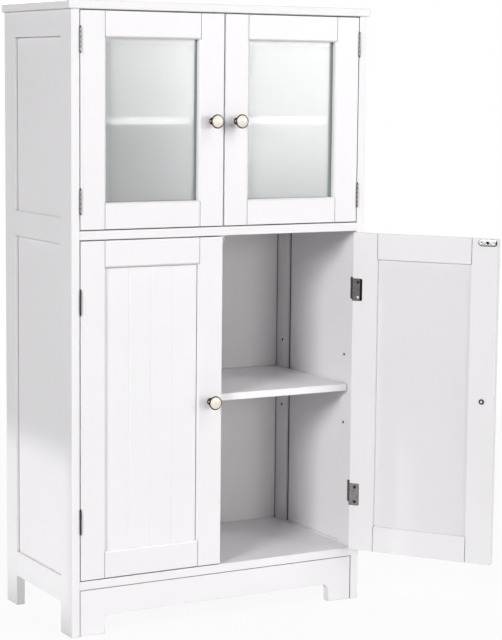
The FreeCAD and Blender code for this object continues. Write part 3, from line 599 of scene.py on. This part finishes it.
def turnedBeech():
    # beech rod: pale brown with fine streaks along the rod, which lies across the cabinet
    finish, tree, out = newFinish("turnedBeech")
    where = put(tree, "TexCoord").outputs["Object"]
    along = put(tree, "Mapping", {"Vector": where, "Scale": (beech["stretch"], 1, 1)})
    streak = put(tree, "TexNoise", {"Vector": along.outputs[0], "Scale": grain(beech["streak"]),
                                    "Detail": 3.0})
    tone = put(tree, "Mix", {0: streak.outputs[0], 6: linear(beech["light"]), 7: linear(beech["shade"])},
               data_type="RGBA")
    wood = put(tree, "BsdfPrincipled", {"Base Color": tone.outputs[2], "Roughness": beech["rough"]})
    tree.links.new(wood.outputs[0], out.inputs["Surface"])
    return finish


fittings = {name: platedMetal(name, **look, marks=hingeBarrel if name == "blackNickel" else None)
            for name, look in metals.items()}
fittings["abs"], fittings["beech"] = mouldedAbs(), turnedBeech()
for name in nodes:
    if name.endswith(("hinge_leaves", "hinge_post_leaves")):
        wear(fittings["blackNickel"], name)
    elif name == "hinge_pins":
        wear(fittings["hingePinSteel"], name)
    elif name.endswith(("screws", "shelf_pins")):
        wear(fittings["zincPlate"], name)
    elif name.endswith("magnets"):
        wear(fittings["magnetSteel"], name)
    elif name.endswith(("catch_housings", "glass_clips")):
        wear(fittings["abs"], name)
    elif name == "dowels":
        wear(fittings["beech"], name)


# Small fittings of the doors, made for a shut left hand door and set on each door

doors = ("upper_left_door", "upper_right_door", "lower_left_door", "lower_right_door")


def onDoor(door, part, points):
    # points in mm from the middle of a fitting's seat; right hand doors mirror the place, and the lower right
    # door stands open, so its fittings swing round the hinge with it
    twin = door.replace("right", "left")  # shut at rest
    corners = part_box("%s_%s" % (twin, part))
    seat = corners[1].y if part.startswith("knob") else corners[0].y
    middle = (corners[0] + corners[1]) / 2
    placed = points * mm + np.array([-middle.x if "right" in door else middle.x, seat, middle.z])
    joint = joints[door]
    swing = -math.radians(joint["range_deg"][0]) * joint["axis"][2]
    pivot = np.array(joint["pos_m"])
    cosine, sine = math.cos(swing), math.sin(swing)
    turn = np.array([[cosine, -sine, 0], [sine, cosine, 0], [0, 0, 1]])
    return (placed - pivot) @ turn.T + pivot


def fitting(name, door, cad, points, faces, finish):
    mesh = bpy.data.meshes.new(name)
    mesh.from_pydata(points.tolist(), [], faces)
    mesh.shade_smooth()
    mesh.materials.append(finish)
    piece = bpy.data.objects.new(name, mesh)
    bpy.context.scene.collection.objects.link(piece)
    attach(piece, door)
    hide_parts(cad)
    return mesh


for door in doors:
    seat, inward = onDoor(door, "knob_base", np.array([[0, 0, 0], [0, 1 / mm, 0]]))
    wear(platedMetal(door + "Zinc", **metals["zincPlate"], marks=screwTones, middle=tuple(seat),
                     way=tuple(inward - seat)), door + "_screws")
print("finishes on")


# Strike plates: pressed nickel, round at both ends, with a screw hole in the middle and two dimples

strike = {
    "run": 11.5,  # mm from the middle to the centre of a round end
    "hole": [(2.45, 0.02), (2.42, 0.5), (2.5, 0.85), (2.75, 1.08)],  # radius and height off the door, mm
    "rim": [(5.0, 1.1), (5.4, 1.02), (5.75, 0.8), (5.95, 0.45), (5.97, 0.02)],  # half width and height, mm
    "field": 14,  # rings between hole and rim
    "crown": (1.16, 0.06),  # mm, the field's height by the hole, and its fall to the rim
    "turns": 120,
    "dimple": dict(at=11.0, radius=1.7, depth=0.45),  # mm
    "light": "#dfdfe1", "shade": "#b0afb1", "edge": "#2c2b2b", "rough": 0.24, "swing": 0.06,
    "speck": 1.5,  # mm, finer in life, too fine to show
    "litToShade": 5.0,  # mm over which the plate goes from painted light above to painted shade below
    "inner": (5.25, 8.75), "innerShade": 0.4,  # mm, the end away from the door's edge is in the shade too
    # where it is painted dark, for shade and dark reflection: start and length in mm, or in dimple radii, and
    # how dark
    "rolled": (4.9, 0.8), "rolledDark": 0.6,  # all round the rim
    "foot": (3.9, 1.2), "footDark": 0.85,  # the lower edge turns away from the light
    "end": (13.6, 1.6), "endDark": 0.95,  # and so does the end by the door's edge
    "dimpleEdge": 1.3, "dimpleDark": 0.85,
}


def pressedNickel():
    # bright nickel on pressed steel, with painted light and shade: pale above and greyer below where it bows,
    # dark at the rolled rim
    finish, tree, out = newFinish("pressedNickel")
    where = put(tree, "TexCoord").outputs["Object"]
    speck = put(tree, "TexNoise", {"Vector": where, "Scale": grain(strike["speck"]), "Detail": 3.0})
    litToShade = put(tree, "Attribute", attribute_name="litToShade").outputs["Fac"]
    dark = put(tree, "Attribute", attribute_name="dark").outputs["Fac"]
    plate = put(tree, "Mix", {0: litToShade, 6: linear(strike["light"]), 7: linear(strike["shade"])},
                data_type="RGBA")
    tone = put(tree, "Mix", {0: dark, 6: plate.outputs[2], 7: linear(strike["edge"])}, data_type="RGBA")
    gloss = put(tree, "MapRange", {"Value": speck.outputs[0], "To Min": strike["rough"] - strike["swing"],
                                   "To Max": strike["rough"] + strike["swing"]})
    surface = put(tree, "BsdfPrincipled", {"Base Color": tone.outputs[2], "Metallic": 1.0,
                                           "Roughness": gloss.outputs[0]})
    tree.links.new(surface.outputs[0], out.inputs["Surface"])
    return finish


def strikePlate():
    # rings from the hole's foot up, across the field and down the rim: each point goes from a circle to a
    # long round-ended outline as its ring goes out; its height follows the profile less a dip at each dimple
    share = np.linspace(0, 1, strike["turns"], endpoint=False)
    breaks = [0, 0.17, 0.33, 0.67, 0.83, 1]  # shares of the way round: half an end, a side, an end, and so on
    way = np.interp(share, breaks, np.array([0, 0.5, 0.5, 1.5, 1.5, 2]) * np.pi)[None, :]
    centre = np.interp(share, breaks, [1, 1, -1, -1, 1, 1])[None, :] * strike["run"]
    circle = 2 * np.pi * share[None, :]
    hole, rim = np.array(strike["hole"]), np.array(strike["rim"])
    across = np.linspace(0, 1, strike["field"] + 2)[1:-1, None]
    inner = (hole[-1, 0] * np.cos(circle), hole[-1, 0] * np.sin(circle))
    outer = (centre + rim[0, 0] * np.cos(way), rim[0, 0] * np.sin(way))
    x = np.vstack([hole[:, :1] * np.cos(circle), inner[0] + (outer[0] - inner[0]) * across,
                   centre + rim[:, :1] * np.cos(way)])
    z = np.vstack([hole[:, :1] * np.sin(circle), inner[1] + (outer[1] - inner[1]) * across,
                   rim[:, :1] * np.sin(way)])
    field = strike["crown"][0] - strike["crown"][1] * across ** 2
    height = np.vstack([hole[:, 1:], field, rim[:, 1:]]) + 0 * x
    dimple = strike["dimple"]
    off = np.hypot(np.abs(x) - dimple["at"], z) / dimple["radius"]
    height = height - dimple["depth"] * np.clip(1 - off ** 2, 0, 1)
    rings, turns = x.shape
    ring, turn = np.meshgrid(np.arange(rings), np.arange(turns), indexing="ij")
    above, beside = (ring + 1) % rings, (turn + 1) % turns
    faces = np.stack([ring * turns + turn, ring * turns + beside, above * turns + beside,
                      above * turns + turn], -1)
    edge = ramp(np.hypot(np.maximum(np.abs(x) - strike["run"], 0), z), *strike["rolled"])
    points = np.stack([x, height, z], -1).reshape(-1, 3)
    return points, faces.reshape(-1, 4).tolist(), edge.ravel(), off.ravel()


def standStrike(door, finish):
    points, faces, edge, off = strikePlate()
    outward = points[:, 0] * (-1 if "right" in door else 1)  # towards the door's free edge
    up = points[:, 2]
    litToShade = np.clip(0.5 - up / strike["litToShade"] + strike["innerShade"] * ramp(-outward, *strike["inner"]), 0, 1)
    dark = np.max([strike["rolledDark"] * edge,
                   strike["footDark"] * ramp(-up, *strike["foot"]),
                   strike["endDark"] * ramp(outward, *strike["end"]),
                   strike["dimpleDark"] * np.clip(strike["dimpleEdge"] - off, 0, 1)], axis=0)
    mesh = fitting(door + "_pressed_strike_plate", door, door + "_strike_plate",
                   onDoor(door, "strike_plate", points), faces, finish)
    for name, values in (("litToShade", litToShade), ("dark", dark)):
        mesh.attributes.new(name, "FLOAT", "POINT").data.foreach_set("value", values)


nickel = pressedNickel()
for door in doors:
    standStrike(door, nickel)
print("strike plates on")


# Knobs: a turned and plated base with a glazed ceramic face, one on each door

knob = {
    # profiles: radius and height off the door, mm
    "base": [(5.7, 0), (6.1, 0.25), (6.2, 0.8), (5.9, 1.5), (5.2, 2.3), (4.75, 4), (4.6, 6.5), (4.7, 9),
             (5.1, 11.2), (5.9, 13.2), (7.4, 15.4), (9.5, 17.3), (11.5, 18.5), (12.05, 19.0), (12.2, 19.6),
             (12.05, 20.1), (11.7, 20.35), (11.2, 20.4), (10.75, 20.25), (10.5, 19.9), (10.45, 19.3)],
    "face": [(10.2, 19.25), (10.25, 20.2), (10.25, 21.0), (9.95, 21.75), (9.2, 22.35), (7.8, 23.05),
             (5.5, 23.6), (2.5, 23.93)],
    "crown": 24.0,
    "stepsPerPoint": 6,
    "turns": 80,
    "bronze": "#463b34", "bronzeShade": "#221c18", "bronzeRough": 0.15, "bronzeSwing": 0.06,
    "patch": 7, "patchSpread": (0.3, 0.7), "speck": 1,  # mm; the speck is finer in life, too fine to show
    "highlightTone": "#e2dbd5", "highlightBand": dict(heights=(2.6, 13.0), lean=(0.92, 0.97)),  # painted highlight along the neck: its tone, heights in mm, and cosine from sideways
    "glaze": "#f3ebe0", "glazeShade": "#eadfd2", "glazeRough": (0.08, 0.18),
    "glazeCoat": dict(share=0.6, rough=0.05),
    "pool": 6, "pit": 1.5,  # mm; the pits are finer in life, too fine to show
}


def throughPoints(points, steps):
    # a smooth line through points: on each span a cubic whose end slopes follow the neighbours (Catmull-Rom)
    p = np.vstack([2 * points[0] - points[1], points, 2 * points[-1] - points[-2]])
    t = np.linspace(0, 1, steps, endpoint=False)[None, :, None]
    a, b, c, d = (p[i:len(p) - 3 + i, None, :] for i in range(4))
    spans = 0.5 * (2 * b + (c - a) * t + (2 * a - 5 * b + 4 * c - d) * t ** 2
                   + (3 * b - a - 3 * c + d) * t ** 3)
    return np.vstack([spans.reshape(-1, 2), points[-1:]])


def turned(profile, lowPole, highPole):
    # each point of the profile goes round the axis: radius times cosine and sine across, its height along -Y;
    # a point on the axis closes each end
    line = throughPoints(np.array(profile, float), knob["stepsPerPoint"])
    count, turns = len(line), knob["turns"]
    angle = np.linspace(0, 2 * np.pi, turns, endpoint=False)[None, :]
    radius, height = line[:, :1], line[:, 1:]
    ring = np.stack([radius * np.cos(angle), -height + 0 * angle, radius * np.sin(angle)], -1).reshape(-1, 3)
    points = np.vstack([ring, [[0, -lowPole, 0], [0, -highPole, 0]]])
    row, column = np.meshgrid(np.arange(count - 1), np.arange(turns), indexing="ij")
    beside = (column + 1) % turns
    quads = np.stack([row * turns + column, row * turns + beside, (row + 1) * turns + beside,
                      (row + 1) * turns + column], -1).reshape(-1, 4)
    first = np.arange(turns)
    second = (first + 1) % turns
    top = (count - 1) * turns
    caps = np.vstack([np.stack([second, first, 0 * first + count * turns], -1),
                      np.stack([top + first, top + second, 0 * first + count * turns + 1], -1)])
    return points, quads.tolist() + caps.tolist()


def agedBronze():
    # turned brass under dark bronze plate: brown in patches, with a painted highlight along the neck's sides,
    # glossy enough to show the soft boxes
    finish, tree, out = newFinish("agedBronze")
    where = put(tree, "TexCoord").outputs["Object"]
    patch = put(tree, "TexNoise", {"Vector": where, "Scale": grain(knob["patch"]), "Detail": 4.0})
    speck = put(tree, "TexNoise", {"Vector": where, "Scale": grain(knob["speck"]), "Detail": 2.0})
    spread = put(tree, "MapRange", {"Value": patch.outputs[0], "From Min": knob["patchSpread"][0],
                                    "From Max": knob["patchSpread"][1]})
    plated = put(tree, "Mix", {0: spread.outputs[0], 6: linear(knob["bronze"]),
                               7: linear(knob["bronzeShade"])}, data_type="RGBA")
    neckHighlight = put(tree, "Attribute", attribute_name="neckHighlight").outputs["Fac"]
    tone = put(tree, "Mix", {0: neckHighlight, 6: plated.outputs[2], 7: linear(knob["highlightTone"])}, data_type="RGBA")
    rough, swing = knob["bronzeRough"], knob["bronzeSwing"]
    gloss = put(tree, "MapRange", {"Value": speck.outputs[0], "To Min": rough - swing,
                                   "To Max": rough + swing})
    plate = put(tree, "BsdfPrincipled", {"Base Color": tone.outputs[2], "Metallic": 1.0,
                                         "Roughness": gloss.outputs[0]})
    tree.links.new(plate.outputs[0], out.inputs["Surface"])
    return finish


def glazedCeramic():
    # ivory earthenware under clear glaze: warm white, cream where the glaze pools, a sharp gloss
    finish, tree, out = newFinish("glazedCeramic")
    where = put(tree, "TexCoord").outputs["Object"]
    pool = put(tree, "TexNoise", {"Vector": where, "Scale": grain(knob["pool"]), "Detail": 3.0})
    pit = put(tree, "TexNoise", {"Vector": where, "Scale": grain(knob["pit"]), "Detail": 2.0})
    tone = put(tree, "Mix", {0: pool.outputs[0], 6: linear(knob["glaze"]), 7: linear(knob["glazeShade"])},
               data_type="RGBA")
    gloss = put(tree, "MapRange", {"Value": pit.outputs[0], "To Min": knob["glazeRough"][0],
                                   "To Max": knob["glazeRough"][1]})
    glaze = put(tree, "BsdfPrincipled", {"Base Color": tone.outputs[2], "Roughness": gloss.outputs[0],
                                         "IOR": 1.52, "Coat Weight": knob["glazeCoat"]["share"],
                                         "Coat Roughness": knob["glazeCoat"]["rough"]})
    tree.links.new(glaze.outputs[0], out.inputs["Surface"])
    return finish


def neckHighlightShare(points):
    # 1 along both sides of the neck, where the painted highlight goes, 0 above, below and on the foot and cup
    low, high = knob["highlightBand"]["heights"]
    least, most = knob["highlightBand"]["lean"]
    height = -points[:, 1]
    axis = 0.1  # mm, as near as a point may count, so that none is divided by nothing
    sideways = np.abs(points[:, 0]) / np.maximum(np.hypot(points[:, 0], points[:, 2]), axis)
    return ramp(sideways, least, most - least) * ((height > low) & (height < high))


bronze, ceramic = agedBronze(), glazedCeramic()
knobBase = turned(knob["base"], 0, knob["base"][-1][1])
knobFace = turned(knob["face"], knob["face"][0][1], knob["crown"])
for door in doors:
    for part, (points, faces), finish, slot in (("base", knobBase, bronze, "knob_metal"),
                                                ("face", knobFace, ceramic, "knob_ceramic")):
        mesh = fitting("%s_turned_knob_%s" % (door, part), door, "%s_knob_%s" % (door, part),
                       onDoor(door, "knob_base", points), faces, finish)
        if part == "base":
            mesh.attributes.new("neckHighlight", "FLOAT", "POINT").data.foreach_set("value", neckHighlightShare(points))
print("knobs on")
